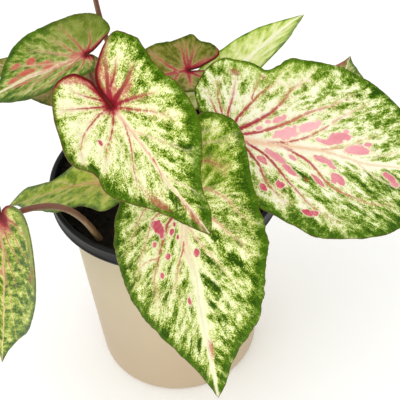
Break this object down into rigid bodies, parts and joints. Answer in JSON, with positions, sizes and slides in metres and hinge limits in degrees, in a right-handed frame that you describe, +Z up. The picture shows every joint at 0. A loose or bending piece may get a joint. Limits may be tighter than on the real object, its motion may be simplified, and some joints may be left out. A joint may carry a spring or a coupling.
{
  "type": "potted caladium plant",
  "caption": "Fancy-leaf caladium with long-stalked, heart-shaped cream, green and pink leaves, in a black nursery pot that hangs in a plain tapered cream cover pot.",
  "frame": {"origin": "centre of the cover pot's flat underside", "axes": "+Z up; +X to the right and +Y to the back as the plant is seen from its front, the large right leaf reaching out along +X"},
  "size_m": [0.2577, 0.1706, 0.2453],
  "materials": {
    "cover_pot": "smooth matte cream, faintly warm",
    "grow_pot": "satin black moulded plastic",
    "soil": "dark crumbly potting mix",
    "tuber": "rough brown corm skin",
    "leaf": "cream and pale green with fine green speckle, green margin, crimson veins and pink patches, soft sheen",
    "stem": "smooth pink-brown leaf stalk"
  },
  "bodies": {
    "root": {"cover_pot": "cover_pot", "grow_pot": "grow_pot", "soil": "soil", "tuber": "tuber", "leaf_front": "leaf", "stem_front": "stem", "leaf_lower_front": "leaf", "stem_lower_front": "stem", "leaf_right": "leaf", "stem_right": "stem", "leaf_upper_left": "leaf", "stem_upper_left": "stem", "leaf_lower_left": "leaf", "stem_lower_left": "stem", "leaf_left": "leaf", "stem_left": "stem", "leaf_back": "leaf", "stem_back": "stem", "leaf_upper_right": "leaf", "stem_upper_right": "stem", "leaf_far_right": "leaf", "stem_far_right": "stem", "leaf_far_left": "leaf", "stem_far_left": "stem", "leaf_top": "leaf", "stem_top": "stem"}
  },
  "joints": []
}
